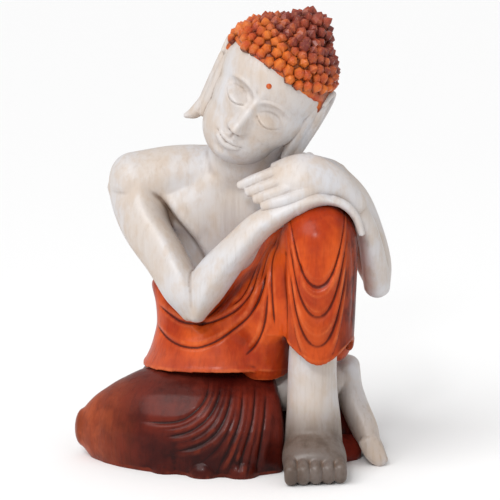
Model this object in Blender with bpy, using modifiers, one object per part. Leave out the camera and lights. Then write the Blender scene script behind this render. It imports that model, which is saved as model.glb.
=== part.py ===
"""A seated thinking Buddha, carved from one block of wood and sawn flat underneath.

The figure sits with its right leg folded on the ground and its left knee raised. Both arms cross on
that knee, and the head rests on the hands. The front faces -Y and +Z is up.
"""

import math

import bmesh
import bpy
import numpy as np
from mathutils import Euler, Matrix, Vector

# Driving dimensions, in metres
HEIGHT = 0.400
CARVING_GRID = 0.0016
FACET_COUNT = 9900

# The pose below is written in millimetres of a figure 400 mm tall, and follows HEIGHT.
MM = HEIGHT / 400

# Head: its centre, its lean and its half sizes
HEAD_CENTRE = (26, -27, 323)
HEAD_PITCH = math.radians(10)
HEAD_ROLL = math.radians(28)
HEAD_YAW = math.radians(-10)
FACE_ROLL = math.radians(10)
CRANIUM_CENTRE = (0, 6, 22)
CRANIUM = (47, 48, 46)
HAIR_THICKNESS = 2.5
TOPKNOT_CENTRE = (7, 17, 64)
TOPKNOT = (19, 18, 17)

# Hair: pointed curls in rows
CURL_RADIUS = 8.0
CURL_TIP_RADIUS = 2.6
CURL_HEIGHT = 8.0
CURL_SINK = 2.5
CURL_SIDES = 6
CURL_PITCH = 13.2

ACROSS, AWAY, UP = (1, 0, 0), (0, 1, 0), (0, 0, 1)


def clear_scene():
    for obj in list(bpy.data.objects):
        bpy.data.objects.remove(obj)


def collection(name):
    made = bpy.data.collections.new(name)
    bpy.context.scene.collection.children.link(made)
    return made


def mesh_object(name, mesh, where):
    obj = bpy.data.objects.new(name, mesh)
    where.objects.link(obj)
    return obj


def smooth_path(stations, steps):
    """A Catmull-Rom curve through the stations, all their columns at once."""
    p = np.array(stations, float)
    p = np.vstack([2 * p[0] - p[1], p, 2 * p[-1] - p[-2]])
    t = np.linspace(0, 1, steps, endpoint=False)[:, None]
    parts = []
    for a, b, c, d in zip(p, p[1:], p[2:], p[3:]):
        parts.append(
            0.5 * (2 * b + (c - a) * t + (2 * a - 5 * b + 4 * c - d) * t**2
                   + (3 * b - a - 3 * c + d) * t**3)
        )
    return np.vstack([*parts, p[-2:-1]])


def with_round_ends(rings, start, end, count=5):
    """Adds rings that close each end as a quarter ellipse, start and end times its radius long."""
    made = [rings]
    for first, second, length, ahead in ((0, 1, start, False), (-1, -2, end, True)):
        out = rings[first, :3] - rings[second, :3]
        out /= np.linalg.norm(out)
        turn = np.linspace(0, math.pi / 2, count + 1)[1:]
        turn[-1] -= 0.06
        cap = np.repeat(rings[first][None], count, axis=0)
        reach = min(rings[first, 3], rings[first, 4]) * length
        cap[:, :3] += np.outer(np.sin(turn) * reach, out)
        cap[:, 3:] *= np.cos(turn)[:, None]
        made = [*made, cap] if ahead else [cap[::-1], *made]
    return np.vstack(made)


def limb(name, stations, across=ACROSS, ends=(0.8, 0.8), sides=28, steps=7, where=None):
    """A closed loft. A station is (x, y, z, half size along across, half size along the third axis)."""
    rings = with_round_ends(smooth_path(stations, steps), *ends)
    centre, half = rings[:, :3], rings[:, 3:]
    along = np.gradient(centre, axis=0)
    along /= np.linalg.norm(along, axis=1)[:, None]
    side = np.array(across, float) - along * (along @ np.array(across, float))[:, None]
    side /= np.linalg.norm(side, axis=1)[:, None]
    third = np.cross(along, side)
    turn = np.linspace(0, 2 * math.pi, sides, endpoint=False)
    wide = np.cos(turn)[None, :, None] * (half[:, :1] * side)[:, None, :]
    deep = np.sin(turn)[None, :, None] * (half[:, 1:] * third)[:, None, :]
    points = ((centre[:, None, :] + wide + deep) * MM).reshape(-1, 3)
    count = len(centre)
    ring, step = np.meshgrid(np.arange(count - 1) * sides, np.arange(sides), indexing="ij")
    after = (step + 1) % sides
    quads = np.stack([ring + step, ring + after, ring + sides + after, ring + sides + step], axis=-1)
    last = (count - 1) * sides
    caps = [list(range(sides))[::-1], list(range(last, last + sides))]
    mesh = bpy.data.meshes.new(name)
    mesh.from_pydata(points.tolist(), [], quads.reshape(-1, 4).tolist() + caps)
    return mesh_object(name, mesh, where)


def egg(name, centre, half, turn=(0, 0, 0), where=None):
    """An ellipsoid, from a sphere primitive."""
    mesh = bpy.data.meshes.new(name)
    form = bmesh.new()
    bmesh.ops.create_uvsphere(form, u_segments=28, v_segments=18, radius=1)
    place = Matrix.LocRotScale(Vector(centre) * MM, Euler(turn), Vector(half) * MM)
    bmesh.ops.transform(form, matrix=place, verts=form.verts)
    form.to_mesh(mesh)
    form.free()
    return mesh_object(name, mesh, where)


def evaluated_mesh(obj):
    return bpy.data.meshes.new_from_object(
        obj.evaluated_get(bpy.context.evaluated_depsgraph_get())
    )


def fuse(name, forms, grid, smoothing, where):
    """Makes closed forms that overlap one skin on a voxel grid, and rounds its creases."""
    form = bmesh.new()
    for obj in forms:
        form.from_mesh(obj.data)
    mesh = bpy.data.meshes.new(name)
    form.to_mesh(mesh)
    form.free()
    block = mesh_object(name, mesh, where)
    remesh = block.modifiers.new("skin", "REMESH")
    remesh.mode = "VOXEL"
    remesh.voxel_size = grid
    if smoothing:
        rounding = block.modifiers.new("rounding", "SMOOTH")
        rounding.factor = 0.5
        rounding.iterations = smoothing
    skin = mesh_object(name, evaluated_mesh(block), where)
    bpy.data.objects.remove(block)
    for obj in forms:
        bpy.data.objects.remove(obj)
    skin.name = name
    return skin


def torso_forms(where):
    """The bare trunk, bowed forward, with the shoulders, the neck and both upper arms."""
    return [
        limb("trunk", [
            (-12, 38, 60, 66, 46), (-8, 37, 100, 60, 41), (-7, 35, 125, 59, 39), (-4, 31, 155, 66, 39),
            (0, 25, 190, 74, 40), (4, 18, 220, 79, 38), (8, 14, 244, 72, 33), (12, 10, 264, 42, 24),
        ], where=where),
        limb("shoulders", [
            (-87, 12, 243, 31, 29), (-45, 15, 252, 28, 28), (8, 15, 252, 26, 27), (50, 15, 249, 26, 27),
            (82, 14, 242, 26, 26),
        ], across=UP, where=where),
        egg("right_breast", (-28, 0, 222), (48, 19, 34), where=where),
        egg("left_breast", (34, -3, 226), (46, 22, 34), where=where),
        limb("neck", [
            (8, 14, 250, 38, 30), (14, -3, 278, 33, 30), (24, -12, 302, 34, 33), (34, -14, 318, 36, 34),
        ], where=where),
        limb("right_arm", [
            (-82, 12, 243, 30, 29), (-77, 2, 216, 26, 28), (-64, -16, 189, 22.5, 27),
            (-47, -35, 163, 21, 22), (-33, -46, 147, 18, 17), (-26, -47, 132, 9, 10),
        ], ends=(0.6, 0.5), where=where),
        limb("left_arm", [
            (83, 14, 240, 27, 26), (103, 10, 226, 21, 22), (117, 1, 200, 17, 19),
            (125, -6, 174, 15, 17), (129, -11, 154, 10, 12),
        ], ends=(0.6, 0.7), where=where),
    ]


def hand_and_foot_forms(where):
    """The forearms with their hands, and what the cloth leaves bare of both legs."""
    right_forearm = limb("right_forearm", [
        (-26, -48, 143, 15, 16), (-8, -55, 171, 17, 17), (12, -61, 195, 15, 16), (33, -64, 217, 12.5, 13.5),
        (53, -63, 232, 12, 10.5), (72, -60, 240, 16, 7), (90, -56, 235, 17, 5), (102, -51, 222, 14, 4.2),
        (109, -44, 208, 11, 3.6),
    ], across=AWAY, ends=(0.9, 0.8), where=where)
    left_forearm = limb("left_forearm", [
        (127, -13, 158, 12, 13), (119, -28, 186, 13, 13), (109, -40, 214, 12, 12), (97, -47, 240, 12, 12),
        (82, -51, 255, 14, 11), (65, -51, 264, 17, 10), (55, -51, 264, 16, 9),
    ], ends=(0.9, 0.6), where=where)
    fingers = [
        limb("finger", [
            (60 + 4.2 * n, -50 - 4.6 * n, 271 - 7.4 * n, 5.6, 5.2),
            (34 + 5.2 * n, -57 - 4.2 * n, 261 - 7 * n, 5.2, 5.0),
            (6 + 6.6 * n, -55 - 4 * n, 251 - 5.6 * n, 4.2, 4.2),
        ], across=UP, sides=16, where=where)
        for n in range(4)
    ]
    palm = limb("palm", [(66, -52, 257, 17, 9), (40, -53, 247, 15, 9), (24, -50, 239, 11, 8)],
                across=UP, where=where)
    shin = limb("shin", [
        (72, -48, 140, 22, 24), (69, -48, 100, 21, 23), (69, -47, 70, 22, 22), (70, -46, 45, 24, 24),
        (70, -46, 10, 26, 30),
    ], where=where)
    foot = limb("foot", [
        (70, -28, 16, 21, 26), (70, -48, 15, 25, 30), (70, -68, 12, 28, 22), (70, -88, 7, 26, 14),
    ], ends=(0.6, 0.4), where=where)
    toes = [
        limb("toe", [
            (49 + 10.4 * n, -70, 12, 5.8, 10), (49 + 10.4 * n, -90, 8, 5.5, 10),
            (49 + 10.4 * n, -100 + 1.6 * n, 4, 5.0, 8),
        ], sides=12, ends=(0.6, 0.7), where=where)
        for n in range(5)
    ]
    back_shin = limb("back_shin", [(10, 0, 58, 20, 20), (50, -2, 62, 19, 19), (102, 2, 74, 15, 16)],
                     across=AWAY, where=where)
    back_foot = limb("back_foot", [
        (102, 6, 82, 12, 19), (104, 4, 62, 13, 19), (110, 0, 44, 13, 22), (118, -6, 26, 12, 25),
        (122, -8, 16, 10, 25),
    ], ends=(0.8, 0.7), where=where)
    back_toes = [
        limb("back_toe", [
            (119, 9 - 9.6 * n, 22, 9, 5.4), (124, 8 - 9.9 * n, 12, 9, 5.2), (130, 6 - 9.9 * n, 4, 7, 4.8),
        ], sides=12, where=where)
        for n in range(5)
    ]
    return [right_forearm, left_forearm, *fingers, palm, shin, foot, *toes, back_shin, back_foot,
            *back_toes]


def robe_forms(where):
    """The cloth: round the waist, over the lap and the raised knee, and over the folded leg."""
    return [
        limb("waist", [
            (-10, 38, 78, 73, 50), (-8, 37, 96, 67, 46), (-7, 35, 125, 62, 43), (-5, 32, 150, 69, 43),
            (-4, 31, 158, 71, 43),
        ], ends=(0.05, 0.08), where=where),
        limb("waist_hem", [
            (-10, 12, 80, 71, 60), (-8, 12, 96, 65, 57), (-6, 12, 118, 61, 50), (-4, 14, 138, 60, 44),
        ], ends=(0.04, 0.6), where=where),
        limb("lap", [
            (-44, 14, 116, 32, 31), (-20, 5, 118, 36, 36), (5, 0, 124, 42, 43), (32, -8, 134, 44, 53),
            (52, -16, 150, 40, 50),
        ], across=UP, ends=(0.6, 0.8), where=where),
        limb("raised_thigh", [
            (20, 38, 60, 46, 46), (38, 12, 115, 42, 44), (60, -24, 165, 36, 40), (73, -50, 198, 33, 36),
        ], where=where),
        egg("knee", (73, -54, 202), (33.5, 34, 35), where=where),
        limb("knee_cloth", [
            (73, -52, 200, 33, 34), (74, -50, 165, 31, 36), (74, -48, 130, 31, 34), (73, -46, 112, 30, 32),
        ], ends=(0.5, 0.1), where=where),
        egg("knee_hem", (72, -54, 117), (28, 31, 24), where=where),
        limb("folded_leg", [
            (26, 2, 20, 64, 66), (-10, -6, 20, 69, 66), (-50, -6, 22, 58, 63), (-82, -2, 26, 47, 55),
            (-102, 2, 27, 37, 44), (-115, 4, 25, 29, 37),
        ], across=AWAY, ends=(0.2, 1.0), where=where),
        *[egg("hem_lobe", (x, y, 2), (half, 16, 15), where=where)
          for x, y, half in ((-56, -46, 17), (-25, -59, 16), (6, -60, 16))],
        egg("right_buttock", (-38, 46, 44), (54, 46, 48), where=where),
        egg("left_buttock", (42, 44, 44), (52, 44, 48), where=where),
        limb("seat", [
            (-84, 30, 18, 34, 28), (-10, 36, 16, 46, 32), (50, 36, 16, 44, 32), (97, 26, 18, 36, 32),
        ], across=AWAY, where=where),
        limb("plinth", [(20, 10, 8, 40, 20), (60, 0, 8, 44, 20), (100, 10, 6, 30, 18)],
             across=AWAY, where=where),
    ]


# Folds, as grooves across the front of the cloth: points are (x, z)
LAP_FOLDS = [
    [(-66, 130), (-46, 122), (-24, 126), (-1, 140), (19, 160), (32, 184)],
    [(-66, 115), (-50, 106), (-22, 108), (6, 121), (23, 142), (34, 168)],
    [(9, 99), (20, 114), (26, 138), (29, 159)],
    [(-9, 137), (10, 156), (25, 184), (37, 203)],
    [(44, 203), (41, 177), (44, 151), (47, 120)],
    [(36, 184), (34, 151), (36, 122)],
]
SKIRT_FOLDS = [
    [(-80, 44), (-62, 46), (-45, 55), (-36, 66)],
    [(-21, 83), (-28, 62), (-40, 44), (-58, 36), (-76, 40)],
    [(-6, 82), (-12, 59), (-26, 41), (-45, 30), (-64, 25)],
    [(6, 82), (0, 56), (-15, 34), (-32, 20), (-40, 0)],
    [(22, 82), (14, 55), (2, 32), (-8, 12), (-10, -4)],
    [(27, 70), (25, 48), (20, 22), (20, -4)],
]
BACK_FOLDS = [
    [(-78, 152), (-50, 136), (-8, 128), (34, 134), (66, 150)],
    [(-78, 134), (-46, 116), (-4, 108), (40, 114), (72, 130)],
    [(-84, 96), (-60, 100), (-14, 92), (34, 92), (80, 102)],
    [(-96, 44), (-60, 66), (-18, 72), (22, 60), (48, 34)],
    [(-104, 26), (-66, 44), (-24, 50), (12, 40), (34, 14)],
    [(92, 40), (66, 66), (30, 78)],
]
FOLD_WIDTH = 2.6
FOLD_DEPTH = 2.4
SWAG_BOTTOMS = (167, 155, 139, 122)
SWAG_CENTRE = 72
SWAG_HALF_WIDTH = 22
SWAG_RISE = 34


def swag(bottom, half_width):
    """One U-shaped fold under the knee: z rises as the square of the way out from its middle."""
    return [(SWAG_CENTRE + half_width * t, bottom + SWAG_RISE * t * t) for t in np.linspace(-1.1, 1.1, 9)]


def nearest_signed(points, line):
    """Signed distance of each (x, z) point to a line of short straight pieces, and how far along it."""
    start, step = line[:-1], np.diff(line, axis=0)
    length = np.linalg.norm(step, axis=1)
    best = np.full(len(points), 1e9)
    signed = np.zeros(len(points))
    for a, s, n in zip(start, step, length):
        way = np.clip(((points - a) @ s) / n**2, 0, 1)
        away = points - a - way[:, None] * s
        distance = np.linalg.norm(away, axis=1)
        nearer = distance < best
        best = np.where(nearer, distance, best)
        side = np.sign(s[0] * away[:, 1] - s[1] * away[:, 0])
        signed = np.where(nearer, distance * side, signed)
    return signed


def fold_profile(distance):
    """A groove with a rounded ridge on its upper side."""
    groove = -np.exp(-((distance / FOLD_WIDTH) ** 2))
    ridge = 0.45 * np.exp(-(((distance - 2.4 * FOLD_WIDTH) / (1.6 * FOLD_WIDTH)) ** 2))
    return groove + ridge


def positions(mesh):
    points = np.empty(len(mesh.vertices) * 3)
    mesh.vertices.foreach_get("co", points)
    return points.reshape(-1, 3)


def normals(mesh):
    found = np.empty(len(mesh.vertices) * 3)
    mesh.vertices.foreach_get("normal", found)
    return found.reshape(-1, 3)


def move_out(mesh, distance):
    """Moves each vertex along its normal."""
    moved = positions(mesh) + normals(mesh) * distance[:, None]
    mesh.vertices.foreach_set("co", moved.ravel())
    mesh.update()


def drape(cloth):
    """Cuts the folds into the front and the back of the cloth."""
    points, out = positions(cloth.data) / MM, normals(cloth.data)
    facing = np.clip(1.6 * np.abs(out[:, 1]), 0, 1)
    front = out[:, 1] < 0
    flat = points[:, [0, 2]]
    height = np.zeros(len(points))
    on_knee = (points[:, 0] > 44) & (points[:, 1] < -40)
    groups = [
        (LAP_FOLDS, front & ~on_knee & (points[:, 2] > 88)),
        (SKIRT_FOLDS, front & ~on_knee & (points[:, 2] <= 88)),
        (BACK_FOLDS, ~front),
        ([swag(bottom, SWAG_HALF_WIDTH + 1.5 * n) for n, bottom in enumerate(SWAG_BOTTOMS)], on_knee),
    ]
    for folds, there in groups:
        for fold in folds:
            line = smooth_path(fold, 6)
            height[there] += fold_profile(nearest_signed(flat[there], line))
    move_out(cloth.data, height * facing * FOLD_DEPTH * MM)


def shape_back(torso):
    """Hollows the line of the spine and raises the shoulder blades."""
    points, out = positions(torso.data) / MM, normals(torso.data)
    x, z = points[:, 0] - 4, points[:, 2]
    spine = -3.5 * np.exp(-((x / 8) ** 2)) * rise(z, 120, 190) * rise(-z, -262, -235)
    blades = 4.5 * bump(x, z, 36, 222, 18, 22)
    move_out(torso.data, (spine + blades) * rise(out[:, 1], 0.2, 0.7) * MM)


def head_matrix():
    turn = Euler((HEAD_PITCH, HEAD_ROLL, HEAD_YAW), "XYZ")
    return Matrix.LocRotScale(Vector(HEAD_CENTRE) * MM, turn, None)


def bump(x, z, centre_x, centre_z, wide, high):
    """A rounded mound of height 1 on both sides of the face."""
    return np.exp(-(((np.abs(x) - centre_x) / wide) ** 2) - ((z - centre_z) / high) ** 2)


def rise(value, low, high):
    """0 below low and 1 above high, with a smooth step between."""
    t = np.clip((value - low) / (high - low), 0, 1)
    return t * t * (3 - 2 * t)


def face_height(x, z):
    """How far the face stands out, from the head's middle plane x = 0 and its eye line z = 0."""
    aside = np.abs(x)
    down = np.clip((10 - z) / 32, 0, 1)
    nose = (2.5 + 9.5 * down**1.2) * np.exp(-((x / (4.2 + 2.8 * down)) ** 2)) * rise(z, -27, -21)
    nose *= rise(-z, -22, -6)
    wings = 4 * bump(x, z, 7.5, -20, 4, 4)
    sockets = -4.5 * bump(x, z, 17.5, 4, 11, 8) + 5.5 * bump(x, z, 17.5, -1, 10, 6.5)
    lash = -5 + 0.034 * (aside - 17.5) ** 2
    lids = -1.4 * np.exp(-(((z - lash) / 1.3) ** 2)) * rise(-np.abs(aside - 17.5), -12, -9)
    arch = 13 - 0.018 * (aside - 17) ** 2
    brows = 2 * np.exp(-(((z - arch) / 2.4) ** 2)) * rise(-aside, -34, -27)
    lips = 3.4 * bump(x, z, 0, -33.5, 10.5, 2.8) + 3.8 * bump(x, z, 0, -40, 9.5, 3.2)
    parting = -36.6 + 0.014 * x**2
    lips -= 2.2 * np.exp(-(((z - parting) / 1.2) ** 2)) * rise(-aside, -16, -12)
    soft = 3 * bump(x, z, 0, -36, 16, 12) + 2 * bump(x, z, 22, -20, 13, 13) + 4 * bump(x, z, 0, -53, 11, 7)
    return nose + wings + sockets + lids + brows + lips + soft


def in_face(points):
    """Points of the head as the face has them, which leans further than the skull."""
    return points @ np.array(Matrix.Rotation(FACE_ROLL, 3, "Y"))


def hairline(points):
    """Above 0 where the head is covered in hair."""
    x, y, z = in_face(points).T
    return z - (38 - 0.004 * x**2 - 3.0 * np.clip(y + 9, 0, None))


def carve_head(head):
    """Gives the bare head its face, and the step at the edge of its hair."""
    points, out = positions(head.data) / MM, normals(head.data)
    x, y, z = in_face(points).T
    front = rise(-out[:, 1], 0.05, 0.5) * rise(-y, 5, 15)
    moved = positions(head.data)
    moved[:, 1] -= face_height(x, z) * front * MM
    step = HAIR_THICKNESS * rise(hairline(points), -1, 1)
    head.data.vertices.foreach_set("co", (moved + out * step[:, None] * MM).ravel())
    head.data.update()


def on_egg(centre, half, polar, turn):
    """Where a direction meets an ellipsoid, and the way out of it there."""
    unit = np.array([math.sin(polar) * math.sin(turn), math.sin(polar) * math.cos(turn), math.cos(polar)])
    out = unit / half
    return unit * half + centre, out / np.linalg.norm(out)


def rows_of_curls(centre, half, lowest):
    """Places in rows from the crown down, each row turned half a step from the last."""
    rows = round(lowest * half[1:].mean() / (0.87 * CURL_PITCH))
    for row in range(rows):
        polar = lowest * row / rows
        count = max(1, round(2 * math.pi * half[:2].mean() * math.sin(polar) / CURL_PITCH))
        for n in range(count):
            yield on_egg(centre, half, polar, 2 * math.pi * (n + 0.5 * (row % 2)) / count)


def curl_places():
    """The curls of the hair and of the topknot, without those that the other one covers."""
    cranium, knot = np.array(CRANIUM) + HAIR_THICKNESS, np.array(TOPKNOT, float)
    for place, out in rows_of_curls(np.array(CRANIUM_CENTRE), cranium, math.pi):
        clear = np.linalg.norm((place - TOPKNOT_CENTRE) / (knot + 2)) > 1
        if clear and hairline(place[None])[0] > CURL_RADIUS * 0.5:
            yield place, out
    for place, out in rows_of_curls(np.array(TOPKNOT_CENTRE), knot, 0.62 * math.pi):
        if np.linalg.norm((place - CRANIUM_CENTRE) / (cranium + 3)) > 1:
            yield place, out


def curl(place, out, where):
    """A pointed stud with flat sides, its foot sunk in the hair."""
    mesh = bpy.data.meshes.new("curl")
    form = bmesh.new()
    bmesh.ops.create_cone(form, cap_ends=True, segments=CURL_SIDES, radius1=CURL_RADIUS * MM,
                          radius2=CURL_TIP_RADIUS * MM, depth=CURL_HEIGHT * MM)
    middle = Vector(place + out * (CURL_HEIGHT / 2 - CURL_SINK)) * MM
    turn = Vector(out).to_track_quat("Z", "Y")
    bmesh.ops.transform(form, matrix=Matrix.LocRotScale(middle, turn, None), verts=form.verts)
    form.to_mesh(mesh)
    form.free()
    return mesh_object("curl", mesh, where)


def ear(side, where):
    return limb("ear", [
        (side * 44, 8, 27, 4, 8), (side * 49, 9, 13, 5, 12), (side * 48, 7, -5, 5, 10),
        (side * 45, 4, -21, 6.5, 9), (side * 45, 2, -32, 7, 8.5), (side * 48, 0, -41, 5.5, 7),
        (side * 53, -1, -47, 2.6, 4),
    ], sides=16, where=where)


def head_forms(where):
    bare = fuse("bare_head", [
        egg("cranium", CRANIUM_CENTRE, CRANIUM, where=where),
        egg("cheeks", (-1, -2, -4), (42, 42, 41), turn=(0, FACE_ROLL, 0), where=where),
        egg("jaw", (-5, -7, -27), (35, 34, 35), turn=(0, FACE_ROLL, 0), where=where),
    ], CARVING_GRID * HEIGHT / 0.4, 12, where)
    carve_head(bare)
    topknot = egg("topknot", TOPKNOT_CENTRE, TOPKNOT, where=where)
    studs = [curl(place, out, where) for place, out in curl_places()]
    forms = [bare, topknot, ear(-1, where), ear(1, where), *studs]
    for obj in forms:
        obj.data.transform(head_matrix())
    return forms


def cut_flat(figure):
    """Saws the underside off flat at z = 0."""
    form = bmesh.new()
    form.from_mesh(figure.data)
    cut = bmesh.ops.bisect_plane(form, geom=form.verts[:] + form.edges[:] + form.faces[:],
                                 plane_co=(0, 0, 0), plane_no=(0, 0, -1), clear_outer=True)
    edges = [e for e in cut["geom_cut"] if isinstance(e, bmesh.types.BMEdge)]
    bmesh.ops.holes_fill(form, edges=edges, sides=0)
    form.to_mesh(figure.data)
    form.free()


def facet(figure):
    """Leaves as many flat facets as the shape needs, with the sawn underside exactly flat."""
    fewer = figure.modifiers.new("facets", "DECIMATE")
    fewer.ratio = FACET_COUNT / sum(len(face.vertices) - 2 for face in figure.data.polygons)
    fewer.use_collapse_triangulate = True
    carved = evaluated_mesh(figure)
    figure.modifiers.remove(fewer)
    figure.data = carved
    points = positions(carved)
    points[np.abs(points[:, 2]) < 0.5 * CARVING_GRID, 2] = 0
    carved.vertices.foreach_set("co", points.ravel())
    carved.update()


def set_down(figure):
    """Centres the figure over the origin, with its underside at z = 0."""
    points = positions(figure.data)
    low, high = points.min(axis=0), points.max(axis=0)
    points -= [(low[0] + high[0]) / 2, (low[1] + high[1]) / 2, low[2]]
    figure.data.vertices.foreach_set("co", points.ravel())
    figure.data.update()


def painted_wood():
    """Carved wood under thin paint."""
    material = bpy.data.materials.new("painted_wood")
    material.use_nodes = True
    shader = material.node_tree.nodes["Principled BSDF"]
    shader.inputs["Base Color"].default_value = (0.52, 0.22, 0.11, 1)
    shader.inputs["Roughness"].default_value = 0.45
    shader.inputs["Metallic"].default_value = 0
    return material


def build():
    clear_scene()
    work = collection("thinking_buddha")
    grid = CARVING_GRID * HEIGHT / 0.4
    cloth = fuse("cloth", robe_forms(work), grid, 5, work)
    drape(cloth)
    torso = fuse("torso", torso_forms(work), grid, 24, work)
    shape_back(torso)
    figure = fuse("figure", [torso, cloth, *hand_and_foot_forms(work), *head_forms(work)], grid, 2, work)
    cut_flat(figure)
    facet(figure)
    set_down(figure)
    figure.name = "figure"
    figure.data.materials.append(painted_wood())
    figure.data.shade_smooth()


build()
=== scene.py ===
"""The thinking Buddha's looks: whitewashed skin, a lacquered robe and skirt, and studded hair.

The figure is carved from one block, so its parts are worked out as overlapping closed forms, fused on a
fine grid, and then given their carving. Lengths are in millimetres of the carver's own frame until a
piece is made. The front faces -Y.
"""

import math

import bmesh
import bpy
import numpy as np
from mathutils import Euler, Matrix, Vector


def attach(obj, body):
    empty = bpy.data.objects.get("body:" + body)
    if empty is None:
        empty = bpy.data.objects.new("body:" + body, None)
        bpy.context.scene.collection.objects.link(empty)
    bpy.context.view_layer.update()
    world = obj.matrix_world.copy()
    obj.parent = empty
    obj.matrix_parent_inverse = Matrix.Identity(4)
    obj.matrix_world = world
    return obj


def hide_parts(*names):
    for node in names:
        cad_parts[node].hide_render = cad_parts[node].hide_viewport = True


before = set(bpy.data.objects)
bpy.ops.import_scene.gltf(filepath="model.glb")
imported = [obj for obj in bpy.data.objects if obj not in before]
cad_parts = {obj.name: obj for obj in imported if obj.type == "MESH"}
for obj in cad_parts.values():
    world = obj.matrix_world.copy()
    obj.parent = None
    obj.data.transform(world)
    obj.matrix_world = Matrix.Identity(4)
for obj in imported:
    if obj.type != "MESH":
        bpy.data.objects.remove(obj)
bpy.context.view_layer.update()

MM = 0.001
ACROSS, AWAY, UP = (1, 0, 0), (0, 1, 0), (0, 0, 1)
# From the carver's frame to the CAD's, whose origin is under the middle of the figure's box.
SET_DOWN = np.array((2.38, 6.51, 0.0))
# The edges of the cubes that forms are fused on. Finer cubes would pass the limit on triangles.
BODY_GRID, CLOTH_GRID, FINE_GRID, HEAD_GRID, HAIR_GRID, BASE_GRID = 1.45, 1.22, 1.0, 0.82, 1.5, 1.6
# A last ring stops this far short of its pole, in radians, so that it doesn't shrink to a point.
POLE_GAP, CAP_GAP = 0.05, 0.06
# Rounds of averaging: for what a cut lies under, for what a dell lies under, and to rub a crease smooth.
CUT_PASSES, DELL_PASSES, RUB_PASSES = 11, 54, 80


# Surfaces


def closed_rings(rings):
    """Faces of a grid of rings, each closed on itself, with a pole in the middle of both end rings.

    rings has shape (count, sides, 3), and every ring is joined to the next by quads.
    """
    count, sides = rings.shape[:2]
    points = np.vstack([rings.reshape(-1, 3), rings[0].mean(axis=0), rings[-1].mean(axis=0)])
    ring, step = np.meshgrid(np.arange(count - 1) * sides, np.arange(sides), indexing="ij")
    after = (step + 1) % sides
    quads = np.stack([ring + step, ring + after, ring + sides + after, ring + sides + step], axis=-1)
    step = np.arange(sides)
    after, last = (step + 1) % sides, (count - 1) * sides
    first_pole = np.stack([after, step, np.full(sides, count * sides)], axis=-1)
    last_pole = np.stack([last + step, last + after, np.full(sides, count * sides + 1)], axis=-1)
    return points, quads.reshape(-1, 4).tolist() + first_pole.tolist() + last_pole.tolist()


def joined(forms):
    """Forms, each its points and its faces, as one list of points and one of faces."""
    points, faces = [], []
    for form_points, form_faces in forms:
        first = sum(len(p) for p in points)
        faces += [[first + corner for corner in face] for face in form_faces]
        points.append(form_points)
    return np.vstack(points), faces


def smooth_path(stations, steps):
    """A Catmull-Rom curve: between b and c it leaves b along c - a and reaches c along d - b."""
    p = np.array(stations, float)
    p = np.vstack([2 * p[0] - p[1], p, 2 * p[-1] - p[-2]])
    t = np.linspace(0, 1, steps, endpoint=False)[:, None]
    parts = [
        0.5 * (2 * b + (c - a) * t + (2 * a - 5 * b + 4 * c - d) * t**2 + (3 * b - a - 3 * c + d) * t**3)
        for a, b, c, d in zip(p, p[1:], p[2:], p[3:])
    ]
    return np.vstack([*parts, p[-2:-1]])


def with_round_ends(rings, start, end, count=6):
    """Adds rings past each end whose size falls as a cosine while they move on as a sine."""
    made = [rings]
    for first, second, length, ahead in ((0, 1, start, False), (-1, -2, end, True)):
        out = rings[first, :3] - rings[second, :3]
        out /= np.linalg.norm(out)
        turn = np.linspace(0, math.pi / 2, count + 1)[1:]
        turn[-1] -= CAP_GAP
        cap = np.repeat(rings[first][None], count, axis=0)
        cap[:, :3] += np.outer(np.sin(turn) * min(rings[first, 3:]) * length, out)
        cap[:, 3:] *= np.cos(turn)[:, None]
        made = [*made, cap] if ahead else [cap[::-1], *made]
    return np.vstack(made)


def limb(stations, across=ACROSS, ends=(0.8, 0.8), sides=40, steps=9, ridge=1.0):
    """A form carried along a path: centre + side * a * cos(turn)^ridge + third * b * sin(turn)^ridge.

    A station is (x, y, z, a, b). The side axis is `across` squared up to the path. A ridge above 1 gives
    the section an edge at each end of its axes, as a knife leaves it.
    """
    rings = with_round_ends(smooth_path(stations, steps), *ends)
    centre, half = rings[:, :3], rings[:, 3:]
    along = np.gradient(centre, axis=0)
    along /= np.linalg.norm(along, axis=1)[:, None]
    side = np.array(across, float) - along * (along @ np.array(across, float))[:, None]
    side /= np.linalg.norm(side, axis=1)[:, None]
    third = np.cross(along, side)
    turn = np.linspace(0, 2 * math.pi, sides, endpoint=False)
    wide = np.sign(np.cos(turn)) * np.abs(np.cos(turn)) ** ridge
    deep = np.sign(np.sin(turn)) * np.abs(np.sin(turn)) ** ridge
    return closed_rings(
        centre[:, None, :]
        + wide[None, :, None] * (half[:, :1] * side)[:, None, :]
        + deep[None, :, None] * (half[:, 1:] * third)[:, None, :]
    )


def directions(sides):
    """Unit vectors on a grid of polar angle and turn: (sin p sin t, sin p cos t, cos p)."""
    polar = np.linspace(POLE_GAP, math.pi - POLE_GAP, sides // 2)[:, None]
    turn = np.linspace(0, 2 * math.pi, sides, endpoint=False)[None, :]
    return np.stack([np.sin(polar) * np.sin(turn), np.sin(polar) * np.cos(turn),
                     np.cos(polar) + 0 * turn], axis=-1)


def egg(centre, half, sides=40):
    """An ellipsoid: each half size times a unit direction."""
    return closed_rings(directions(sides) * half + centre)


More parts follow.
